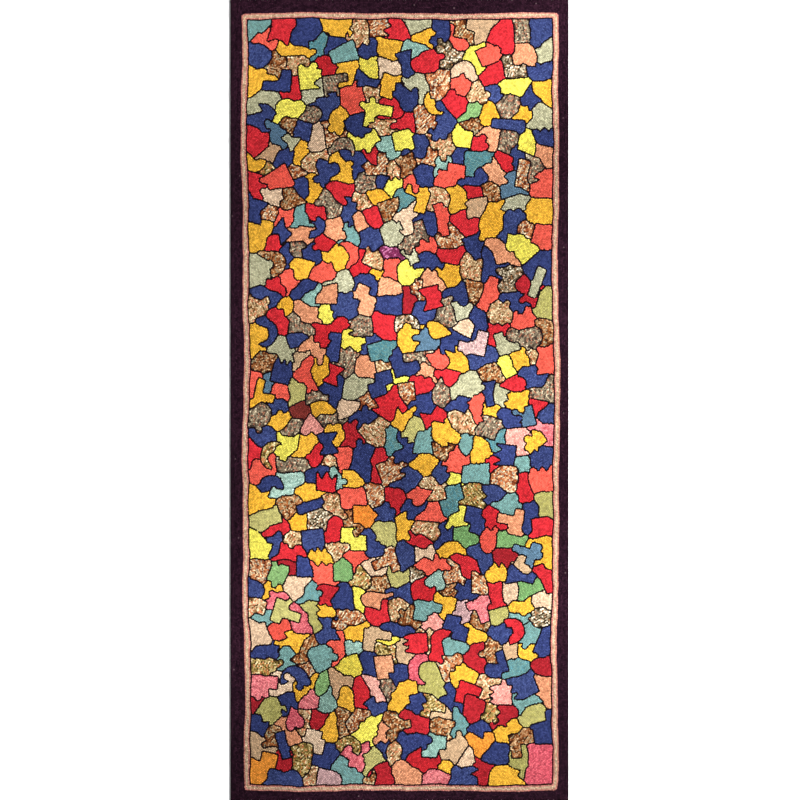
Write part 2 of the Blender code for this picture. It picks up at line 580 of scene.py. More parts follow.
@functools.cache
def patch_looks():
    """What each patch has on both faces of the rug: its yarn, the way its rows run, how far they
    are striped and granular, its tone, and its share of the yarn's second colour.
    """
    _, labels = patch_drawing()
    rng = np.random.default_rng(YARN_SEED)
    yarn = patch_yarns(labels, rng)
    count = len(yarn)
    slanted = rng.normal(TWEED_SLANT, SLANT_STRAY, count)
    slanted = slanted * np.where(rng.random(count) < RISING_SHARE, 1, -1)
    turn = np.where(yarn < len(PLAIN_YARNS), rng.uniform(-MOST_TURN, MOST_TURN, count), slanted)
    striped, granular = ROW_SHARE * rng.random(count), GRAIN_SHARE * rng.random(count)
    tone = rng.random(count)
    blended = rng.random(count) < BLENDED_SHARE
    blend = np.where(blended, rng.uniform(*BLENDED, count), rng.uniform(*UNBLENDED, count))
    return yarn, turn, striped, granular, tone, blend


# ---------------------------------------------------------------- rows of loops

# How loops lie. Where nothing else is said, gaps are in row widths.
BESIDE = 1.12               # from a black row to the rows beside it
STRAY = 0.12                # how far loops stray from their rows
MARGIN_STRAY = 0.05         # the same, in the straight rows of the margin
OUTLINE_GAP = 0.6           # the least between loops of the black rows
BESIDE_GAP = 0.74           # the least between loops of the rows beside them
BESIDE_CLEAR = 0.88         # the least from those to the black rows
FILL_CLEAR = 0.82           # the least from the loops that fill a patch to any of those
WIDEST_ROW = 1.4            # a row width never counts as more than this, in the pile's own
OUTLINE_STITCH = 7.5 * MM   # the longest stitch of a black row on the back
BAND_CORNER = 0.7           # radius of the band's corners, as a share of its way out of the field
MIRRORED = 1.2              # how deep a strip of the margin is mirrored outside the rug's edge
STREAK_LOOPS = 5            # loops that share a streak in the margin's rows
STREAK_SHARE = 0.6          # how much of their fleck they share
STREAKS = 97                # rows and stretches in the table that the patches take streaks from
STREAK_SHIFT = 13           # rows of it between one patch and the next
ROW_OFFSET = 5              # loops between the stretches of one row and those of the next
ROW_SHARE = 0.5             # how much, at most, every second row of a patch differs from the others
GRAIN_SHARE = 0.55          # how many loops, at most, fall out of their streak
CORNER_STEPS = 6
TINY = 1e-9
BACK_STITCH = 13.4 * MM     # the back is shown with fewer, longer stitches than the pile has loops
BACK_ROW = 7.25 * MM
SQUARE = 100 * MM           # yarn that runs on and on is cut into squares for its map
SQUARES = 100               # more of those than lie side by side

# How the edges of the field wander, in metres where nothing else is said.
# The waves: how high, in the photograph's pixels, and how long, as a share of the longest.
WAVES = ((0.85, 1.0), (0.65, 0.45), (0.30, 0.20), (0.16, 0.09), (0.10, 0.045))
WAVE_STRAY = (0.85, 1.15)   # how far the length of a wave may stray, as a share
PHASES = (0, 7)             # where in its turn a wave may start, in radians
SIDE_WAVES = 1.1            # the longest waves of the left and right edge
END_WAVES = 0.6             # the longest waves of the upper and lower edge
END_SHARE = 0.6             # how high those are, as a share of the others
LEFT_LEAN = 1.2             # how far each end of the left edge leans, in the photograph's pixels
RIGHT_OUT = 0.9             # how far the right edge stands out, in the same
RIGHT_BEND = 2.2            # how much less it does towards its ends
RIGHT_MIDDLE = 0.1          # where it stands out most, in half lengths above the middle
STEADY = 1.6                # how soon the wandering sets in, from the rug's edge inwards
PINCH = 0.6                 # how much the band's inner edge strays from its outer one
PINCH_WAVES = 0.25
PINCH_REACH = 15 * MM       # how far to both sides of that edge rows give way


def border_paths(labels, field):
    """The borders between patches as smooth open paths, traced from corner to corner."""
    links = {}
    for move, step in (((1, 0), (0, 1)), ((0, 1), (1, 0))):
        here, there = shifts(labels.shape, *move)
        y, x = np.nonzero(labels[here] != labels[there])
        x, y = x + move[0], y + move[1]
        for a, b in zip(zip(x.tolist(), y.tolist()), zip((x + step[0]).tolist(), (y + step[1]).tolist())):
            links.setdefault(a, []).append(b)
            links.setdefault(b, []).append(a)
    ends = [corner for corner, others in links.items() if len(others) != 2]
    used = set()
    paths = []
    for start in ends + sorted(links):
        for other in links[start]:
            if (start, other) in used:
                continue
            if start not in ends and len(links[start]) == 2 and (other, start) in used:
                continue
            path = [start]
            here, after = start, other
            while True:
                used.update(((here, after), (after, here)))
                path.append(after)
                if len(links[after]) != 2 or after == start:
                    break
                here, after = after, next(c for c in links[after] if c != here)
            paths.append(smoothed(np.array(path, float) * CELL + field.low))
    return paths


def smoothed(path, rounds=6):
    """The path with its steps smoothed away, both ends left in place."""
    for _ in range(rounds):
        middle = 0.5 * (path[:-2] + path[2:])
        path[1:-1] += 0.5 * (middle - path[1:-1])
    return path


def along_path(path, spacing, phase=0.5):
    """Points a spacing apart along a path, and the way the path runs at each."""
    steps = np.diff(path, axis=0)
    travelled = np.concatenate([[0], np.cumsum(np.hypot(*steps.T))])
    count = max(1, round(travelled[-1] / spacing))
    at = (np.arange(count) + phase) * travelled[-1] / count
    points, before, after = (
        np.stack([np.interp(at + shift, travelled, path[:, axis]) for axis in (0, 1)], axis=1)
        for shift in (0, -spacing / 2, spacing / 2)
    )
    way = after - before
    return points, way / np.maximum(np.hypot(*way.T), TINY)[:, None]


def angles(way):
    """The angle of each way that a path runs."""
    return np.arctan2(way[:, 1], way[:, 0])


def tree_of(points):
    """The points in a tree that finds the nearest ones."""
    tree = KDTree(len(points))
    for index, (x, y) in enumerate(points.tolist()):
        tree.insert((x, y, 0.0), index)
    tree.balance()
    return tree


def distances(points, tree):
    """How far each point is from the nearest one in a tree."""
    return np.array([tree.find((x, y, 0.0))[2] for x, y in points.tolist()], float)


def spaced(points, gap):
    """True for the points that lie no nearer than gap to an earlier one that is kept."""
    tree = tree_of(points)
    keep = np.ones(len(points), bool)
    for index, (x, y) in enumerate(points.tolist()):
        if keep[index]:
            for _, other, _ in tree.find_range((x, y, 0.0), gap):
                if other > index:
                    keep[other] = False
    return keep


def rectangle_path(low, high, radius=0.0):
    """A closed rectangle, its corners rounded if there is a radius."""
    if not radius:
        return np.array([low, (high[0], low[1]), high, (low[0], high[1]), low], float)
    (x0, y0), (x1, y1) = low + radius, high - radius
    corners = ((x1, y0, 270), (x1, y1, 0), (x0, y1, 90), (x0, y0, 180))
    path = []
    for x, y, start in corners:
        path += arc(x, y, radius, start, start + 90, CORNER_STEPS)
    return np.array(path + path[:1])


def squares_by_patch(field, labels):
    """The middles of each patch's squares, as their x and their y."""
    rows, columns = np.indices(labels.shape)
    order = np.argsort(labels.ravel(), kind="stable")
    starts = np.searchsorted(labels.ravel()[order], np.arange(labels.max() + 2))
    x = field.low[0] + (columns.ravel()[order] + 0.5) * CELL
    y = field.low[1] + (rows.ravel()[order] + 0.5) * CELL
    return [(x[first:last], y[first:last]) for first, last in zip(starts[:-1], starts[1:])]


def rows_over(x, y, turn, loop_length, row_width):
    """Turned rows of points over all these places, and the number of each point's row and loop."""
    steps = int(max(np.ptp(x), np.ptp(y)) / row_width) + 2
    line, loop = np.meshgrid(np.arange(-steps, steps + 1), np.arange(-steps, steps + 1), indexing="ij")
    line, loop = line.ravel(), loop.ravel()
    along = (loop + 0.5 * (line % 2)) * loop_length
    aside = line * row_width
    cos, sin = math.cos(turn), math.sin(turn)
    points = np.stack([along * cos - aside * sin, along * sin + aside * cos], axis=1)
    return points + np.array([x.mean(), y.mean()]), line, loop


class Hooking:
    """The loops of one face of the rug, their yarns and the values that their look varies by."""

    def __init__(self, loop_length, row_width):
        self.sizes = bpy.context.scene.hooked_rug_sizes
        self.field, self.labels = patch_drawing()
        self.loop_length = loop_length
        self.row_width = row_width
        self.rng = np.random.default_rng(LAYOUT_SEED + 1)
        self.parts = []

    def add(self, points, yarn, turn=0.0, tone=0.5, blend=0.0, fleck=0.5, tile=0):
        """Add loops. Each value is one number for all of them, or one for each."""
        values = [np.broadcast_to(value, len(points)) for value in (yarn, turn, tone, blend, fleck, tile)]
        self.parts.append((points, *values))

    def joined(self):
        """The places of all loops, and their values by name."""
        places, *values = [np.concatenate(part) for part in zip(*self.parts)]
        return places, dict(zip(("yarn", "turn", "tone", "blend", "fleck", "tile"), values))

    def strayed(self, points, distance):
        """The points, each moved at random by about this distance."""
        return points + self.rng.normal(0, distance, points.shape)

    def strip(self, low, high, upright):
        """A straight strip of the margin, every second row moved by half a loop."""
        span = np.array(high) - low
        if not upright:
            span = span[::-1]
        rows = max(1, round(span[0] / self.row_width))
        loops = max(1, round(span[1] / self.loop_length))
        row, loop = np.meshgrid(np.arange(rows), np.arange(loops), indexing="ij")
        across = (row + 0.5) / rows * span[0]
        along = (loop + 0.25 + 0.5 * (row % 2)) / loops * span[1]
        points = np.stack([across, along] if upright else [along, across], axis=-1).reshape(-1, 2)
        stretches = self.rng.random((rows, 1 + loops // STREAK_LOOPS))[row, loop // STREAK_LOOPS]
        streak = STREAK_SHARE * stretches + (1 - STREAK_SHARE) * self.rng.random(row.shape)
        points = self.strayed(points + low, MARGIN_STRAY * self.row_width)
        self.add(points, MARGIN, 0.5 * math.pi * upright, fleck=streak.ravel())

    def hook_edge(self):
        """The dark margin, the rose and tan rows and the black row round the field."""
        field, band_row = self.field, self.sizes.band_row
        yarns = [OUTLINES, BAND_ROSE] + [BAND_TAN] * self.sizes.tan_rows + [BAND_ROSE]
        band = band_row * len(yarns)
        low, high = field.low - band, field.high + band
        rug_low, rug_high = np.array([-HALF_WIDTH, -HALF_LENGTH]), np.array([HALF_WIDTH, HALF_LENGTH])
        self.strip(rug_low, (low[0], rug_high[1]), True)
        self.strip((high[0], rug_low[1]), rug_high, True)
        self.strip((low[0], rug_low[1]), (high[0], low[1]), False)
        self.strip((low[0], high[1]), (high[0], rug_high[1]), False)
        margin = np.concatenate([part[0] for part in self.parts])
        for row, yarn in enumerate(yarns):
            out = band_row * (row + 0.5)
            path = rectangle_path(field.low - out, field.high + out, BAND_CORNER * (out - 0.5 * band_row))
            length = min(self.loop_length, OUTLINE_STITCH) if yarn == OUTLINES else self.loop_length
            points, way = along_path(path, length, 0.25 + 0.5 * (row % 2))
            points = self.strayed(points, STRAY * self.sizes.row_width)
            self.add(points, yarn, angles(way), fleck=self.rng.random(len(points)))
        # One dark loop fills each corner that the band's rounding leaves.
        self.add(rectangle_path(low + 0.5 * MM, high - 0.5 * MM)[:-1], MARGIN)
        self.mirror_outside(margin)

    def mirror_outside(self, margin):
        """Mirror the outermost loops of the margin, so that the net ends beyond the rug's edge."""
        outside = [margin]
        for axis, edge in ((0, HALF_WIDTH), (1, HALF_LENGTH)):
            found = np.concatenate(outside)
            for side in (-1, 1):
                near = found[np.abs(found[:, axis] - side * edge) < MIRRORED * self.row_width]
                mirrored = near.copy()
                mirrored[:, axis] = 2 * side * edge - near[:, axis]
                outside.append(mirrored)
        self.add(np.concatenate(outside[1:]), OUTSIDE)

    def hook_outlines(self, row_width):
        """Black rows on the borders. Gives their loops, and those of a row along each side."""
        borders, ways, beside = [], [], []
        for path in border_paths(self.labels, self.field):
            points, way = along_path(path, min(self.loop_length, OUTLINE_STITCH))
            borders.append(points)
            ways.append(way)
            points, way = along_path(path, self.loop_length)
            side = np.stack([-way[:, 1], way[:, 0]], axis=1) * BESIDE * row_width
            beside += [points + side, points - side]
        borders = np.concatenate(borders)
        kept = spaced(borders, OUTLINE_GAP * row_width)
        borders = self.strayed(borders[kept], STRAY * row_width)
        way = np.concatenate(ways)[kept]
        self.add(borders, OUTLINES, angles(way), fleck=self.rng.random(len(borders)))
        return borders, beside

    def hook_field(self):
        """Black rows on the borders, one row along each side of them, and rows that fill the rest."""
        field, labels, rng = self.field, self.labels, self.rng
        row_width = min(self.row_width, WIDEST_ROW * self.sizes.row_width)
        borders, beside = self.hook_outlines(row_width)
        half = 0.5 * self.sizes.band_row
        ring, _ = along_path(rectangle_path(field.low - half, field.high + half), self.loop_length)
        inner, _ = along_path(rectangle_path(field.low + half, field.high - half), self.loop_length)
        beside = np.concatenate(beside + [inner])
        beside = beside[field.holds(beside)]
        away = distances(beside, tree_of(np.concatenate([borders, ring])))
        beside = beside[away > BESIDE_CLEAR * row_width]
        beside = self.strayed(beside[spaced(beside, BESIDE_GAP * row_width)], STRAY * row_width)

        yarn, turn, striped, granular, tone, blend = patch_looks()
        fixed = tree_of(np.concatenate([borders, ring, beside]))
        column, row = field.index(beside).T
        streaks = rng.random((STREAKS, STREAKS))
        fleck = np.repeat(rng.random(len(beside) // 2 + 1), 2)[:len(beside)]
        parts = [(beside, labels[row, column], fleck)]
        for patch, (x, y) in enumerate(squares_by_patch(field, labels)):
            points, line, loop = rows_over(x, y, turn[patch], self.loop_length, self.row_width)
            column, row = field.index(points).T
            inside = field.holds(points) & (labels[row, column] == patch)
            inside[inside] = distances(points[inside], fixed) > FILL_CLEAR * row_width
            stretch = (loop + ROW_OFFSET * line + rng.integers(0, 2, len(loop))) // 2
            points = self.strayed(points[inside], STRAY * row_width)
            streak = streaks[(line + STREAK_SHIFT * patch) % STREAKS, stretch % STREAKS]
            fleck = ((1 - striped[patch]) * streak + striped[patch] * (line % 2))[inside]
            fleck = np.where(rng.random(len(fleck)) < granular[patch], rng.random(len(fleck)), fleck)
            parts.append((points, np.full(len(points), patch), fleck))
        points, owner, fleck = (np.concatenate(part) for part in zip(*parts))
        turn, tone, blend = turn[owner], tone[owner], blend[owner]
        self.add(points, FIRST_YARN + yarn[owner], turn, tone, blend, fleck, tile=owner + 1)


def ripples(place, seed, length):
    """Waves along a line, from this length down to a twentieth of it, for places in metres."""
    rng = np.random.default_rng(seed)
    total = 0
    for height, share in WAVES:
        turns = 2 * math.pi * place / (share * length * rng.uniform(*WAVE_STRAY))
        total = total + height * np.sin(turns + rng.uniform(*PHASES))
    return PHOTO_PIXEL * total


def wander(points, field):
    """Let the edges of the field and its band wander, as hand-drawn lines do."""
    x, y = points.T
    along = y / HALF_LENGTH
    left = ripples(y, 1, SIDE_WAVES) - LEFT_LEAN * PHOTO_PIXEL * along
    bend = PHOTO_PIXEL * (RIGHT_OUT - RIGHT_BEND * (along - RIGHT_MIDDLE) ** 2)
    right = ripples(y, 2, SIDE_WAVES) + bend
    lower, upper = END_SHARE * ripples(x, 3, END_WAVES), END_SHARE * ripples(x, 4, END_WAVES)
    moved = []
    for place, other, half, low, high, first, last in (
        (x, y, HALF_WIDTH, field.low[0], field.high[0], left, right),
        (y, x, HALF_LENGTH, field.low[1], field.high[1], lower, upper),
    ):
        share = np.clip((place - low) / (high - low), 0, 1)
        inner = first + (last - first) * share
        from_edge = np.minimum((place + half) / (low + half), (half - place) / (half - high))
        now = place + inner * np.clip(from_edge * STEADY, 0, 1)
        for seed, edge in ((5, low), (6, high)):
            near = np.clip(1 - np.abs(place - edge) / PINCH_REACH, 0, 1)
            now += PINCH * ripples(other, seed, PINCH_WAVES) * near
        moved.append(now)
    return np.stack(moved, axis=1)


def all_loops(coarse):
    """The loops of the pile, or the longer and fewer stitches of the back."""
    sizes = bpy.context.scene.hooked_rug_sizes
    hooking = Hooking(BACK_STITCH, BACK_ROW) if coarse else Hooking(sizes.loop_length, sizes.row_width)
    hooking.hook_edge()
    hooking.hook_field()
    places, values = hooking.joined()
    # On the map each patch is a part of its own, and other yarn is cut into squares.
    square = np.floor(places / SQUARE).astype(int) + SQUARES // 2
    values["tile"] = np.where(values["tile"] > 0, values["tile"], -square[:, 0] - SQUARES * square[:, 1])
    values["own"] = hooking.rng.random(len(places))
    return wander(places, hooking.field), values


# ---------------------------------------------------------------- meshes

BACK_TOP = 0.7 * MM         # height of the cloth's lower face, that the back stitches stand on
SWELL = 0.12 * MM           # half the height of the pile's slow rises
DIP_STRAY = 0.15 * MM       # how much the dips between loops differ in height
CREST_STRAY = 0.25 * MM     # and the tops of loops
BACK_DIP_STRAY = 0.03 * MM  # the same on the back
BACK_CREST_STRAY = 0.1 * MM
TAPED_CREST = 0.5 * MM      # how low back stitches reach that are under the tape or next to it
RIM = 2.2 * MM              # how far the outermost loops droop at the rug's edge
RIM_DROP = 0.5 * MM         # edges that lie this far under the dips are on the rim
SKIRT_FOOT = 0.3 * MM
FOOT_INSET = 1.5 * MM       # how far inside the rug's edge the outermost loops go into the cloth
LEAN = 0.60 * MM            # how far the tops of loops lean to a side
MOST_LEAN = 1.5 * LEAN
MEETING = 1e-5              # points of the net nearer than this, in millimetres, are one
TAPE_WIDTH = 30 * MM
TAPE_INSET = 2 * MM
TAPE_LAP = 0.1 * MM         # how far the tape reaches up into the cloth
TAPE_ROUNDING = 0.2 * MM
TAPE_SHARP = 1.0            # its edges that turn by more than this, in radians, are rounded
TAPE_COVER = 0.6            # back stitches further under the tape than this share aren't made
STITCH_RELIEF = 0.3 * MM    # how far hem stitches stand out from the tape
STITCH_LENGTH = 6 * MM
STITCH_WIDTH = 1.4 * MM
STITCH_PITCH = 11 * MM
STITCH_SLANT = math.radians(55)
CLOTH_INSET = 3 * MM        # how far inside the rug's edge the foundation ends
CLOTH_STEP = 60 * MM        # longest cell of a cloth
MAP_GAP = 1.5 * MM          # between parts of a map
MAP_DROOP = 1 * MM          # loops that droop further than this are laid out flat on the map
MAP_RIM = 0.7               # those are within this many rows of the rug's edge
SHELF_GROWTH = 1.01         # how much bigger the map gets with each try

# The pieces that the yarns are hooked as.
PILE_PIECES = (
    ("margin_loops", ("margin",)),
    ("band_loops", ("band_rose", "band_tan")),
    ("outline_loops", ("outlines",)),
    ("navy_patches", ("navy",)),
    ("teal_patches", ("slate", "teal", "mist")),
    ("green_patches", ("sage", "green", "olive")),
    ("yellow_patches", ("lemon", "gold")),
    ("orange_patches", ("orange", "peach")),
    ("coral_patches", ("coral",)),
    ("red_patches", ("red", "crimson", "brick")),
    ("pink_patches", ("rose", "pink", "mauve", "plum")),
    ("natural_patches", ("beige", "tan")),
    ("brown_tweed_patches", ("tweed_rust", "tweed_brown", "tweed_olive")),
    ("pale_tweed_patches", ("tweed_grey", "tweed_cream", "tweed_black")),
)


def swell(places):
    """Slow rises and dips of a pile that is pulled by hand."""
    x, y = places.T
    return SWELL * (np.sin(9 * x + 2.1 * np.sin(4 * y)) + np.sin(7 * y + 1.3 * np.sin(6 * x)))


def piece_numbers(yarn, coarse):
    """The number of the piece that each loop belongs to, or -1 outside the rug."""
    owner = np.full(len(YARN_NAMES) + 1, -1)
    for number, (_, names) in enumerate(PILE_PIECES):
        for name in names:
            owner[YARN_NAMES.index(name)] = 0 if coarse else number
    return owner[yarn]


@functools.cache
def loop_net(coarse):
    """A net of triangles that joins the middles of neighbouring loops."""
    sizes = bpy.context.scene.hooked_rug_sizes
    places, values = all_loops(coarse)
    rng = np.random.default_rng(LAYOUT_SEED + 2)
    shake = rng.normal(0, 1, len(places))
    values["piece"] = piece_numbers(values["yarn"], coarse)
    if coarse:
        tape_edge = np.array([HALF_WIDTH, HALF_LENGTH]) - TAPE_INSET
        shown = np.abs(places) < tape_edge - TAPE_COVER * TAPE_WIDTH
        taped = np.abs(places) > tape_edge - TAPE_WIDTH - BACK_ROW
        values["piece"] = np.where(shown.all(axis=1), values["piece"], -1)
        heights = BACK_TOP + BACK_DIP_STRAY * shake
        crest = np.abs(BACK_CREST_STRAY * rng.normal(0, 1, len(places)))
        values["crest"] = np.where(taped.any(axis=1), TAPED_CREST, crest)
    else:
        heights = sizes.valley + swell(places) + DIP_STRAY * shake
        heights[values["yarn"] == OUTSIDE] = sizes.valley - 2 * RIM
        values["crest"] = sizes.crest + swell(places) + CREST_STRAY * rng.normal(0, 1, len(places))
    corners = [Vector(place) for place in (places / MM).tolist()]
    triangles = delaunay_2d_cdt(corners, [], [], 0, MEETING, False)[2]
    net = bpy.data.meshes.new("back_net" if coarse else "pile_net")
    net.from_pydata(np.column_stack([places, heights]).tolist(), [], triangles)
    for name, value in values.items():
        kind = "INT" if name == "piece" else "FLOAT"
        layer = net.attributes.new(name, kind, "POINT")
        layer.data.foreach_set("value", value.astype(np.int32 if kind == "INT" else np.float32))
    return net


@functools.cache
def cell_nodes():
    """Geometry nodes that make a cell round each point of a net, and keep those of one piece."""
    group = bpy.data.node_groups.new("loop_cells", "GeometryNodeTree")
    group.interface.new_socket("Net", in_out="INPUT", socket_type="NodeSocketGeometry")
    group.interface.new_socket("Piece", in_out="INPUT", socket_type="NodeSocketInt")
    group.interface.new_socket("Cells", in_out="OUTPUT", socket_type="NodeSocketGeometry")
    source = group.nodes.new("NodeGroupInput")
    cells = group.nodes.new("GeometryNodeDualMesh")
    number = group.nodes.new("GeometryNodeInputNamedAttribute")
    number.data_type = "INT"
    number.inputs["Name"].default_value = "piece"
    same = group.nodes.new("FunctionNodeCompare")
    same.data_type = "INT"
    same.operation = "EQUAL"
    chosen = group.nodes.new("GeometryNodeSeparateGeometry")
    chosen.domain = "FACE"
    result = group.nodes.new("NodeGroupOutput")
    integers = [socket for socket in same.inputs if socket.identifier in ("A_INT", "B_INT")]
    group.links.new(source.outputs["Net"], cells.inputs["Mesh"])
    group.links.new(cells.outputs[0], chosen.inputs["Geometry"])
    group.links.new(number.outputs["Attribute"], integers[0])
    group.links.new(source.outputs["Piece"], integers[1])
    group.links.new(same.outputs["Result"], chosen.inputs["Selection"])
    group.links.new(chosen.outputs["Selection"], result.inputs["Cells"])
    return group


def cells_of(net, number):
    """The cells of one piece, cut out of the net's dual mesh."""
    holder = bpy.data.objects.new("holder", net)
    bpy.context.scene.collection.objects.link(holder)
    modifier = holder.modifiers.new("cells", "NODES")
    modifier.node_group = cell_nodes()
    modifier[modifier.node_group.interface.items_tree["Piece"].identifier] = number
    shown = holder.evaluated_get(bpy.context.evaluated_depsgraph_get())
    mesh = bpy.data.meshes.new_from_object(shown)
    bpy.data.objects.remove(holder)
    return mesh


def numbers(things, name, width=1):
    """One number or more of each vertex, corner or face, as an array."""
    found = np.empty(len(things) * width, np.float32)
    things.foreach_get(name, found)
    return found.reshape(-1, width) if width > 1 else found


def raise_loops(mesh, below=False):
    """Raise the middle of every cell, and bring the outermost loops down to the cloth."""
    sizes = bpy.context.scene.hooked_rug_sizes
    shape = bmesh.new()
    shape.from_mesh(mesh)
    crest = shape.faces.layers.float["crest"]
    rng = np.random.default_rng(LAYOUT_SEED + 3)
    tops = bmesh.ops.poke(shape, faces=shape.faces[:], center_mode="MEAN")["verts"]
    leans = np.clip(rng.normal(0, LEAN, (len(tops), 2)), -MOST_LEAN, MOST_LEAN)
    for top, lean in zip(tops, leans.tolist()):
        top.co.z = top.link_faces[0][crest]
        top.co.xy += Vector(lean)
    rim = [
        edge for edge in shape.edges
        if edge.is_boundary and not below and max(v.co.z for v in edge.verts) < sizes.valley - RIM_DROP
    ]
    foot = bmesh.ops.extrude_edge_only(shape, edges=rim)["geom"]
    reach = Vector((HALF_WIDTH - FOOT_INSET, HALF_LENGTH - FOOT_INSET, SKIRT_FOOT))
    for vert in foot:
        if isinstance(vert, bmesh.types.BMVert):
            vert.co.x, vert.co.y = (min(max(now, -far), far) for now, far in zip(vert.co.xy, reach.xy))
            vert.co.z = SKIRT_FOOT
    if below:
        bmesh.ops.reverse_faces(shape, faces=shape.faces[:])
    shape.to_mesh(mesh)
    shape.free()
    mesh.shade_smooth()


def shelf_places(boxes):
    """Places for boxes side by side on shelves in a square, and the square's side."""
    order = np.argsort(-boxes[:, 1])
    side = math.sqrt(boxes.prod(axis=1).sum())
    while True:
        side *= SHELF_GROWTH
        places = np.zeros_like(boxes)
        x = y = shelf = 0.0
        for index in order:
            if x + boxes[index, 0] > side:
                x, y, shelf = 0.0, y + shelf, 0.0
            places[index] = x, y
            x += boxes[index, 0]
            shelf = max(shelf, boxes[index, 1])
        if y + shelf <= side:
            return places, side


def lay_out_map(mesh, below=False):
    """Give the mesh a map with each patch flat and apart from the others."""
    sizes = bpy.context.scene.hooked_rug_sizes
    places = numbers(mesh.vertices, "co", 3)
    flat = places[:, :2].astype(float)
    if not below:
        droop = np.maximum(sizes.valley - MAP_DROOP - places[:, 2], 0)
        for axis, edge in ((0, HALF_WIDTH), (1, HALF_LENGTH)):
            near = np.abs(flat[:, axis]) > edge - MAP_RIM * sizes.row_width
            flat[near, axis] += np.sign(flat[near, axis]) * droop[near]
    at = flat[numbers(mesh.loops, "vertex_index").astype(int)]
    corners = numbers(mesh.polygons, "loop_total").astype(int)
    tile = np.unique(numbers(mesh.attributes["tile"].data, "value"), return_inverse=True)[1]
    tile = np.repeat(tile, corners)
    low = np.full((tile.max() + 1, 2), np.inf)
    high = -low
    np.minimum.at(low, tile, at)
    np.maximum.at(high, tile, at)
    spots, side = shelf_places(high - low + 2 * MAP_GAP)
    places = (at - low[tile] + spots[tile] + MAP_GAP) / side
    mesh.uv_layers.new(name="OFBake").uv.foreach_set("vector", places.astype(np.float32).ravel())


def set_yarns(mesh, names, face):
    """Give the mesh its yarns' materials, and each face of it the one of its yarn."""
    for name in names:
        mesh.materials.append(yarn_material(name, face))
    slots = np.zeros(len(YARN_NAMES), np.int32)
    for slot, name in enumerate(names):
        slots[YARN_NAMES.index(name)] = slot
    yarn = np.round(numbers(mesh.attributes["yarn"].data, "value")).astype(int)
    mesh.polygons.foreach_set("material_index", slots[yarn])


def add_piece(name, mesh):
    """Put a finished mesh into the scene as a piece of the rug."""
    mesh.name = name
    piece = bpy.data.objects.new(name, mesh)
    bpy.context.scene.collection.objects.link(piece)
    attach(piece, BODY)
    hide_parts(NODE)
    return piece


def hook_piece(name, number, yarns, below=False):
    """Make one piece of the pile, or the whole back."""
    mesh = cells_of(loop_net(below), number)
    raise_loops(mesh, below)
    lay_out_map(mesh, below)
    set_yarns(mesh, yarns, "back" if below else "yarn")
    add_piece(name, mesh)


def hook_pieces(wanted):
    """Make the pieces of the pile with these names."""
    for number, (name, yarns) in enumerate(PILE_PIECES):
        if name in wanted:
            hook_piece(name, number, yarns)


def mesh_from(shape, name, material, smooth=False):
    """The shape as a mesh with its material."""
    mesh = bpy.data.meshes.new(name)
    shape.to_mesh(mesh)
    shape.free()
    mesh.materials.append(material)
    if smooth:
        mesh.shade_smooth()
    return mesh


def raised_frame(width, length, height, band=None):
    """A slab, or a frame with this width of band, from z = 0 up to its height."""
    shape = bmesh.new()
    bmesh.ops.create_grid(shape, x_segments=1, y_segments=1, size=0.5)
    bmesh.ops.scale(shape, vec=(width, length, 1.0), verts=shape.verts)
    if band:
        inner = shape.faces[:]
        bmesh.ops.inset_region(shape, faces=inner, thickness=band, use_even_offset=True, use_boundary=True)
        bmesh.ops.delete(shape, geom=inner, context="FACES")
    raised = bmesh.ops.extrude_face_region(shape, geom=shape.faces[:], use_keep_orig=True)
    top = [item for item in raised["geom"] if isinstance(item, bmesh.types.BMVert)]
    bmesh.ops.translate(shape, vec=(0.0, 0.0, height), verts=top)
    bmesh.ops.recalc_face_normals(shape, faces=shape.faces)
    return shape


def cut_across(shape):
    """Cut a cloth into shorter cells along the rug's length."""
    for number in range(1, int(2 * HALF_LENGTH / CLOTH_STEP)):
        bmesh.ops.bisect_plane(
            shape, geom=shape.verts[:] + shape.edges[:] + shape.faces[:],
            plane_co=(0.0, number * CLOTH_STEP - HALF_LENGTH, 0.0), plane_no=(0.0, 1.0, 0.0),
        )


def sew_round(shape, half_width, half_length):
    """Slanting stitches over the four edges of a rectangle."""
    high = np.array([half_width, half_length])
    points, way = along_path(rectangle_path(-high, high), STITCH_PITCH)
    for (x, y), turn in zip(points.tolist(), angles(way).tolist()):
        grain = Matrix.Diagonal((0.5 * STITCH_LENGTH, 0.5 * STITCH_WIDTH, STITCH_RELIEF, 1.0))
        turned = Matrix.Rotation(turn + STITCH_SLANT, 4, "Z")
        place = Matrix.Translation((x, y, STITCH_RELIEF))
        bmesh.ops.create_icosphere(shape, subdivisions=1, radius=1.0, matrix=place @ turned @ grain)


# ---------------------------------------------------------------- materials


class Value:
    """A socket whose value varies over a surface. Sums with it add Math nodes."""

    def __init__(self, surface, socket):
        self.surface = surface
        self.socket = socket

    def maths(self, operation, *values, clamp=False):
        settings = {"operation": operation, "use_clamp": clamp}
        return self.surface.node("ShaderNodeMath", settings, dict(enumerate(values)))

    def __add__(self, other):
        return self.maths("ADD", self, other)

    def __sub__(self, other):
        return self.maths("SUBTRACT", self, other)

    def __rsub__(self, other):
        return self.maths("SUBTRACT", other, self)

    def __mul__(self, other):
        return self.maths("MULTIPLY", self, other)

    def __truediv__(self, other):
        return self.maths("DIVIDE", self, other)

    __radd__ = __add__
    __rmul__ = __mul__

    def clamped(self):
        return self.maths("ADD", self, 0.0, clamp=True)

    def above(self, limit):
        return self.maths("GREATER_THAN", self, limit)

    def wave(self):
        return self.maths("SINE", self)

    def cosine(self):
        return self.maths("COSINE", self)


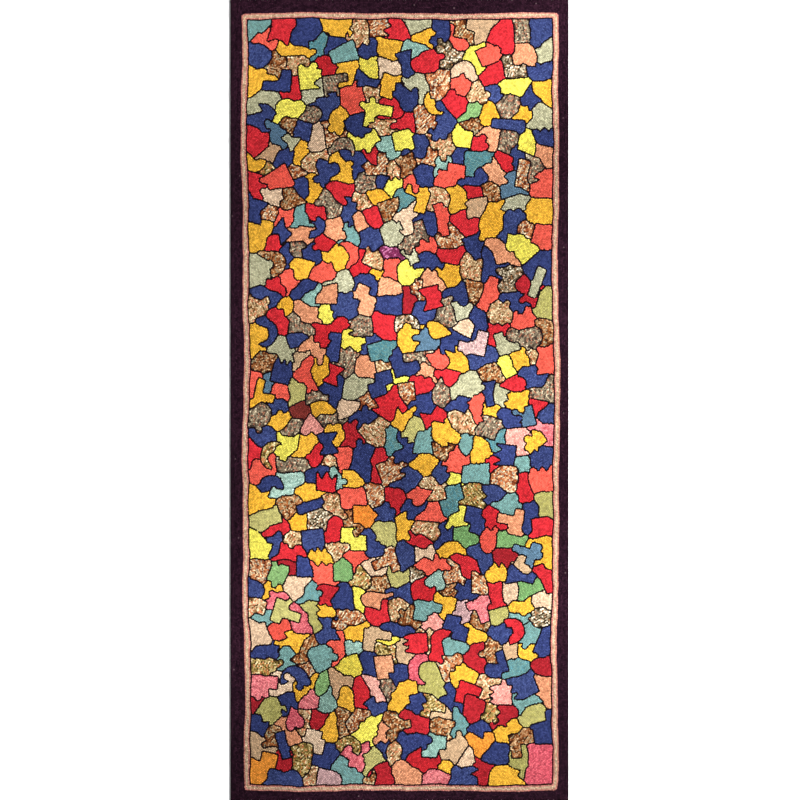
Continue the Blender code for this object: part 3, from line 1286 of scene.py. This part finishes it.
class Surface:
    """One material and the nodes that feed its shader."""

    def __init__(self, name, roughness, sheen):
        self.material = bpy.data.materials.new(name)
        self.material.use_nodes = True
        self.tree = self.material.node_tree
        self.shader = self.tree.nodes["Principled BSDF"]
        self.shader.inputs["Roughness"].default_value = roughness
        self.shader.inputs["Sheen Weight"].default_value = sheen
        self.shader.inputs["Specular IOR Level"].default_value = SPECULAR

    def node(self, kind, settings=None, inputs=None, output=0):
        """Add a node, set it up, and give its output. Stops are those of a colour ramp."""
        made = self.tree.nodes.new(kind)
        for name, value in (settings or {}).items():
            if name == "stops":
                ramp = made.color_ramp
                ramp.interpolation = "CONSTANT"
                for spot, colour in value[1:]:
                    ramp.elements.new(spot).color = (*colour, 1.0)
                ramp.elements[0].color = (*value[0][1], 1.0)
                ramp.elements.remove(ramp.elements[-1])
            else:
                setattr(made, name, value)
        for name, value in (inputs or {}).items():
            if isinstance(value, Value):
                self.tree.links.new(value.socket, made.inputs[name])
            else:
                made.inputs[name].default_value = value
        return Value(self, made.outputs[output])

    def varying(self, name):
        """A value that each loop carries."""
        settings = {"attribute_type": "GEOMETRY", "attribute_name": name}
        return self.node("ShaderNodeAttribute", settings, output="Fac")

    def place(self):
        """The place on the rug, and its parts along x, y and z."""
        place = self.node("ShaderNodeTexCoord", output="Object")
        parts = [self.node("ShaderNodeSeparateXYZ", inputs={0: place}, output=axis) for axis in range(3)]
        return place, *parts

    def noise(self, place, size, detail=2.0):
        """Noise from 0 to 1 whose blobs are about this size in metres."""
        inputs = {"Vector": place, "Scale": 1 / size, "Detail": detail}
        return self.node("ShaderNodeTexNoise", inputs=inputs)

    def mixed(self, share, one, other):
        """A colour between two others. Sockets 6 and 7 of the node are its colours."""
        inputs = {0: share, 6: opaque(one), 7: opaque(other)}
        return self.node("ShaderNodeMix", {"data_type": "RGBA"}, inputs, output=2)

    def scaled(self, colour, value):
        """A colour made lighter or darker by a value."""
        inputs = {0: colour if isinstance(colour, Value) else colour[:3], "Scale": value}
        return self.node("ShaderNodeVectorMath", {"operation": "SCALE"}, inputs)

    def finish(self, colour, height):
        """Feed the shader with a colour and a height in metres."""
        self.tree.links.new(colour.socket, self.shader.inputs["Base Color"])
        bump = self.node("ShaderNodeBump", inputs={"Height": height, "Distance": 1.0, "Strength": 1.0})
        self.tree.links.new(bump.socket, self.shader.inputs["Normal"])
        return self.material


def opaque(colour):
    return colour if isinstance(colour, Value) else (*tuple(colour)[:3], 1.0)


# How the yarns look. Shades are shares of a colour's own light.
SPECULAR = 0.03             # wool and cotton hardly shine
YARN_ROUGHNESS = 0.92
WOVEN_ROUGHNESS = 0.9
THREAD_ROUGHNESS = 0.7
SHEEN = 0.1                 # of the tape, the linen and the hem's thread
PATCH_SHADES = 0.16         # how much patches of one yarn differ
STREAK_SHADES = 0.28        # and stretches of a row
LOOP_SHADES = 0.52          # and single loops
FIBRE_SHADES = 0.26         # and the fibres of a loop
PAINTED_DIP_SHADE = 0.20         # painted shade: what is left of a colour in the dips between loops
PLY = 1.5 * MM              # width of one strand of a yarn
PLY_SLANT = 0.45            # how much strands slant on a loop
PLY_SHIFT = 40              # how far strands are shifted from loop to loop, in radians
PLY_PAINTED_SHADE = 0.10           # painted shade: how much darker it gets in the grooves between strands
PLY_RELIEF = 0.15 * MM
FIBRE = 0.45 * MM           # thickness of the fibres
FIBRE_SQUEEZE = 0.3         # how much a fibre's blobs are drawn out along it
FIBRE_RELIEF = 0.30 * MM
HUE_SHARE = 0.45            # how far single loops go towards a yarn's second colour
STREAK_HUES = (0.2, 1.6)    # how far the least blended streaks go, and how much further the most do
FADE = 0.22                 # size of faded areas, in metres
FADE_SHADES = 0.08
FLECK_RUN = 0.76            # how much of a flecked loop's colour comes from its streak
ODD_SHARE = 0.15            # how many loops of a flecked yarn show its odd colour
ODD_STRENGTH = 0.8
MOTTLE = 2.2 * MM           # size of the spots in a flecked loop
MOTTLE_SHARE = 0.3
MARGIN_RUN = 0.4            # how much of a margin loop's colour comes from its streak
LINT_SHARE = 0.0015         # how many loops of the dark margin have a pale speck
LINT_STRENGTH = 0.2
LINT = (150, 130, 130)
PLUM_STREAKS = 0.25         # how many streaks of a plum patch have the second colour
FLECKS = {row[0]: row[1:3] for row in FLECKED_YARNS}
SECOND_COLOURS = {row[0]: light_of(row[2]) for row in EDGE_YARNS + PLAIN_YARNS}


def flecked_colour(surface, name, fleck, own):
    """The flecks of a yarn that is twisted from several colours."""
    colours, odd = FLECKS[name]
    stops = [(number / len(colours), light_of(colour)) for number, colour in enumerate(colours)]
    spots = surface.noise(surface.place()[0], MOTTLE)
    pick = FLECK_RUN * fleck + (1 - FLECK_RUN) * own + MOTTLE_SHARE * (spots - 0.5)
    ramp = surface.node("ShaderNodeValToRGB", {"stops": stops}, {0: pick.clamped()})
    return surface.mixed(ODD_STRENGTH * own.above(1 - ODD_SHARE), ramp, light_of(odd))


def plain_colour(surface, name, fleck, own):
    """A yarn's own colour, blended with its second one."""
    first = tuple(getattr(bpy.context.scene.hooked_rug_colours, name))
    blend = surface.varying("blend")
    if name == "margin":
        lint = own.above(1 - LINT_SHARE)
        dark = surface.mixed(MARGIN_RUN * fleck + (1 - MARGIN_RUN) * own, first, SECOND_COLOURS[name])
        return surface.mixed(LINT_STRENGTH * lint, dark, light_of(LINT))
    if name in ("outlines", "band_tan", "band_rose"):
        blend = fleck
    elif name == "plum":
        blend = fleck.above(1 - PLUM_STREAKS)
    else:
        least, more = STREAK_HUES
        blend = (blend * (least + more * fleck) + HUE_SHARE * (own - 0.5)).clamped()
    return surface.mixed(blend, first, SECOND_COLOURS[name])


@functools.cache
def yarn_material(name, face):
    """A yarn's material on the pile or the back, dark in the dips between its loops."""
    sizes = bpy.context.scene.hooked_rug_sizes
    low, high = (BACK_TOP, 0.0) if face == "back" else (sizes.valley, sizes.crest)
    surface = Surface(f"{name}_{face}", YARN_ROUGHNESS, sheen=0.0)
    place, x, y, z = surface.place()
    turn, tone, fleck, own = (surface.varying(key) for key in ("turn", "tone", "fleck", "own"))
    along = x * turn.cosine() + y * turn.wave()
    aside = y * turn.cosine() - x * turn.wave()
    rise = ((z - low) / (high - low)).clamped()
    dome = rise * (2 - rise)
    strands = ((aside + PLY_SLANT * along) * (2 * math.pi / PLY) + own * PLY_SHIFT).wave()
    grain = surface.node("ShaderNodeCombineXYZ", inputs={0: FIBRE_SQUEEZE * along, 1: aside, 2: z})
    fibres = surface.noise(grain, FIBRE)
    faded = surface.noise(place, FADE, 1.0)
    shade = 1 + PATCH_SHADES * (tone - 0.5)
    shade = shade * (1 + STREAK_SHADES * (fleck - 0.5)) * (1 + LOOP_SHADES * (own - 0.5))
    shade = shade * (1 + FIBRE_SHADES * (fibres - 0.5)) * (1 + FADE_SHADES * (faded - 0.5))
    # painted shade in the grooves between strands, where the bump sinks
    shade = shade * (1 + PLY_PAINTED_SHADE * strands)
    # painted shade: the colour darkens from the loops' tops down into the dips between them
    shade = shade * (PAINTED_DIP_SHADE + (1 - PAINTED_DIP_SHADE) * dome)
    colour_of = flecked_colour if name in FLECKS else plain_colour
    colour = surface.scaled(colour_of(surface, name, fleck, own), shade)
    height = dome * abs(high - low) + strands * PLY_RELIEF + fibres * FIBRE_RELIEF
    return surface.finish(colour, height)


# The tape and the linen. Sizes are in widths of a thread.
TAPE_COLOUR = (64, 50, 54)
TAPE_THREAD = 1.2 * MM
LINEN_COLOUR = (168, 142, 104)
LINEN_THREAD = 1.6 * MM
# painted shade: how much darker the weave gets where its threads dip under each other
WEAVE_PAINTED_SHADE = 0.22
WEAVE_RELIEF = 0.12
SLUB = 6                    # length of the thicker parts of threads
SLUB_SHADES = 0.4
SLUB_RELIEF = 0.1
# The thread that the tape is sewn with.
HEM_COLOUR = (176, 154, 124)
HEM_TWIST = 0.8 * MM
# painted shade: how much darker the hem thread gets in the grooves of its twist
TWIST_PAINTED_SHADE = 0.12
TWIST_RELIEF = 0.08 * MM
HEM_SHADES = 0.3
HEM_FIBRE_RELIEF = 0.05 * MM
# The studio.
FLOOR_COLOUR = (0.92, 0.92, 0.92)
FLOOR_GRAIN = 3 * MM
FLOOR_SHADES = 0.02
FLOOR_RELIEF = 0.02 * MM
FLOOR_HALF = 40.0           # half the floor's side, in metres
FLOOR_CELLS = 8
LAMP_WIDTH = 1.6
LAMP_LENGTH = 2.8
SENSOR = 36.0               # the camera's, in millimetres
LENS_REACH = 100.0          # how far it sees
OVERFILL = 1.6              # photograph's pixels by which the rug is longer than the picture


def lightened(amount, shades):
    """A shade that is lighter or darker by up to half of this, for noise from 0 to 1."""
    return (1 - 0.5 * shades) + shades * amount


def woven_material(name, colour, thread):
    """Plain weave: threads over and under each other along both axes."""
    surface = Surface(name, WOVEN_ROUGHNESS, SHEEN)
    place, x, y, _ = surface.place()
    over = (x * (2 * math.pi / thread)).wave()
    under = (y * (2 * math.pi / thread)).wave()
    weave = over * under
    slubs = surface.noise(place, SLUB * thread, 3.0)
    # painted shade in the hollows of the weave, where the bump sinks
    shade = (1 + WEAVE_PAINTED_SHADE * weave) * lightened(slubs, SLUB_SHADES)
    height = weave * (WEAVE_RELIEF * thread) + slubs * (SLUB_RELIEF * thread)
    return surface.finish(surface.scaled(light_of(colour), shade), height)


def thread_material():
    """The twisted thread of the hem's stitches."""
    surface = Surface("hem_thread", THREAD_ROUGHNESS, SHEEN)
    place, x, y, _ = surface.place()
    twist = ((x + y) * (2 * math.pi / HEM_TWIST)).wave()
    fibres = surface.noise(place, FIBRE)
    # painted shade in the grooves of the twist, where the bump sinks
    shade = (1 + TWIST_PAINTED_SHADE * twist) * lightened(fibres, HEM_SHADES)
    return surface.finish(
        surface.scaled(light_of(HEM_COLOUR), shade), twist * TWIST_RELIEF + fibres * HEM_FIBRE_RELIEF
    )


def floor_material():
    surface = Surface("studio_floor", WOVEN_ROUGHNESS, sheen=0.0)
    place, *_ = surface.place()
    grain = surface.noise(place, FLOOR_GRAIN)
    colour = surface.scaled(FLOOR_COLOUR, lightened(grain, FLOOR_SHADES))
    return surface.finish(colour, grain * FLOOR_RELIEF)


# ---------------------------------------------------------------- operators


class HookedRugBorder(Operator):
    """Hook the dark margin and the rose and tan band inside it"""

    bl_idname = "hooked_rug.border"
    bl_label = "Hook the border"

    def execute(self, context):
        hook_pieces(("margin_loops", "band_loops"))
        return {"FINISHED"}


class HookedRugOutlines(Operator):
    """Hook the black rows between the patches"""

    bl_idname = "hooked_rug.outlines"
    bl_label = "Hook the outlines"

    def execute(self, context):
        hook_pieces(("outline_loops",))
        return {"FINISHED"}


class HookedRugPatches(Operator):
    """Hook the patches, one piece for each family of yarns"""

    bl_idname = "hooked_rug.patches"
    bl_label = "Hook the patches"

    def execute(self, context):
        hook_pieces([name for name, _ in PILE_PIECES if name.endswith("patches")])
        return {"FINISHED"}


class HookedRugBack(Operator):
    """Show the back of the hooking, the same patches in flat stitches"""

    bl_idname = "hooked_rug.back"
    bl_label = "Stitch the back"

    def execute(self, context):
        hook_piece("back_stitches", 0, YARN_NAMES, below=True)
        return {"FINISHED"}


class HookedRugHem(Operator):
    """Sew a cotton tape over the edges of the back"""

    bl_idname = "hooked_rug.hem"
    bl_label = "Sew the hem"

    def execute(self, context):
        width, length = 2 * (HALF_WIDTH - TAPE_INSET), 2 * (HALF_LENGTH - TAPE_INSET)
        shape = raised_frame(width, length, BACK_TOP + TAPE_LAP - STITCH_RELIEF, TAPE_WIDTH)
        bmesh.ops.translate(shape, vec=(0.0, 0.0, STITCH_RELIEF), verts=shape.verts)
        bmesh.ops.bevel(
            shape, geom=[edge for edge in shape.edges if edge.calc_face_angle(0.0) > TAPE_SHARP],
            offset=TAPE_ROUNDING, offset_type="OFFSET", segments=2, profile=0.5,
            affect="EDGES", material=-1,
        )
        cut_across(shape)
        cotton = woven_material("hem_cotton", TAPE_COLOUR, TAPE_THREAD)
        add_piece("hem_tape", mesh_from(shape, "hem_tape", cotton))
        stitches = bmesh.new()
        for inset in (STITCH_LENGTH / 2, TAPE_WIDTH):
            sew_round(stitches, 0.5 * width - inset, 0.5 * length - inset)
        add_piece("hem_stitches", mesh_from(stitches, "hem_stitches", thread_material(), smooth=True))
        return {"FINISHED"}


class HookedRugFoundation(Operator):
    """Lay the foundation cloth, that the loops are pulled through"""

    bl_idname = "hooked_rug.foundation"
    bl_label = "Lay the foundation"

    def execute(self, context):
        width, length = 2 * (HALF_WIDTH - CLOTH_INSET), 2 * (HALF_LENGTH - CLOTH_INSET)
        shape = raised_frame(width, length, context.scene.hooked_rug_sizes.cloth - BACK_TOP)
        bmesh.ops.translate(shape, vec=(0.0, 0.0, BACK_TOP), verts=shape.verts)
        cut_across(shape)
        linen = woven_material("linen_foundation", LINEN_COLOUR, LINEN_THREAD)
        cloth = add_piece("foundation", mesh_from(shape, "foundation", linen))
        return {"FINISHED"}


class HookedRugStudio(Operator):
    """Set up the floor, the lights and the camera"""

    bl_idname = "hooked_rug.studio"
    bl_label = "Set up the studio"

    def execute(self, context):
        stage = context.scene.hooked_rug_stage
        shape = bmesh.new()
        bmesh.ops.create_grid(shape, x_segments=FLOOR_CELLS, y_segments=FLOOR_CELLS, size=FLOOR_HALF)
        floor = bpy.data.objects.new("floor", mesh_from(shape, "floor", floor_material()))
        context.scene.collection.objects.link(floor)
        floor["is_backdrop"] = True
        for name, side, share in (("left_lamp", -1, 1.0), ("right_lamp", 1, stage.right_share)):
            lamp = bpy.data.lights.new(name, "AREA")
            lamp.shape = "RECTANGLE"
            lamp.size = LAMP_WIDTH
            lamp.size_y = LAMP_LENGTH
            lamp.energy = stage.lamp_power * share
            holder = bpy.data.objects.new(name, lamp)
            holder.location = (side * stage.lamp_side, 0.0, stage.lamp_height)
            holder.rotation_euler = (0.0, math.atan2(side * stage.lamp_side, stage.lamp_height), 0.0)
            context.scene.collection.objects.link(holder)
        world = bpy.data.worlds.new("studio")
        world.use_nodes = True
        world.node_tree.nodes["Background"].inputs["Color"].default_value = (1.0, 1.0, 1.0, 1.0)
        world.node_tree.nodes["Background"].inputs["Strength"].default_value = stage.sky
        context.scene.world = world
        context.scene.view_settings.view_transform = "Standard"
        lens = bpy.data.cameras.new("camera")
        lens.sensor_width = SENSOR
        distance = stage.camera_height - context.scene.hooked_rug_sizes.crest
        lens.lens = SENSOR * distance / (2 * HALF_LENGTH - OVERFILL * PHOTO_PIXEL)
        lens.clip_end = LENS_REACH
        camera = bpy.data.objects.new("camera", lens)
        camera.location = (0.5 * PHOTO_PIXEL, 0.0, stage.camera_height)
        context.scene.collection.objects.link(camera)
        context.scene.camera = camera
        return {"FINISHED"}


class HookedRugPanel(Panel):
    """Settings and steps of the rug"""

    bl_idname = "VIEW3D_PT_hooked_rug"
    bl_label = "Hooked Rug"
    bl_space_type = "VIEW_3D"
    bl_region_type = "UI"
    bl_category = "Hooked Rug"

    def draw(self, context):
        scene = context.scene
        for group in (scene.hooked_rug_sizes, scene.hooked_rug_colours, scene.hooked_rug_stage):
            box = self.layout.box()
            for name in group.bl_rna.properties.keys():
                if name not in ("rna_type", "name"):
                    box.prop(group, name)
        for operator in OPERATORS:
            self.layout.operator(operator.bl_idname)


OPERATORS = (
    HookedRugBorder,
    HookedRugOutlines,
    HookedRugPatches,
    HookedRugBack,
    HookedRugHem,
    HookedRugFoundation,
    HookedRugStudio,
)
GROUPS = {
    "hooked_rug_sizes": HookedRugSizes,
    "hooked_rug_colours": HookedRugColours,
    "hooked_rug_stage": HookedRugStage,
}


def register():
    for item in (*GROUPS.values(), *OPERATORS, HookedRugPanel):
        bpy.utils.register_class(item)
    for name, group in GROUPS.items():
        setattr(bpy.types.Scene, name, PointerProperty(type=group))


def unregister():
    for name in GROUPS:
        delattr(bpy.types.Scene, name)
    for item in (HookedRugPanel, *reversed(OPERATORS), *reversed(GROUPS.values())):
        bpy.utils.unregister_class(item)


def main():
    register()
    bpy.ops.hooked_rug.border()
    bpy.ops.hooked_rug.outlines()
    bpy.ops.hooked_rug.patches()
    bpy.ops.hooked_rug.back()
    bpy.ops.hooked_rug.hem()
    bpy.ops.hooked_rug.foundation()
    bpy.ops.hooked_rug.studio()


if __name__ == "__main__":
    main()
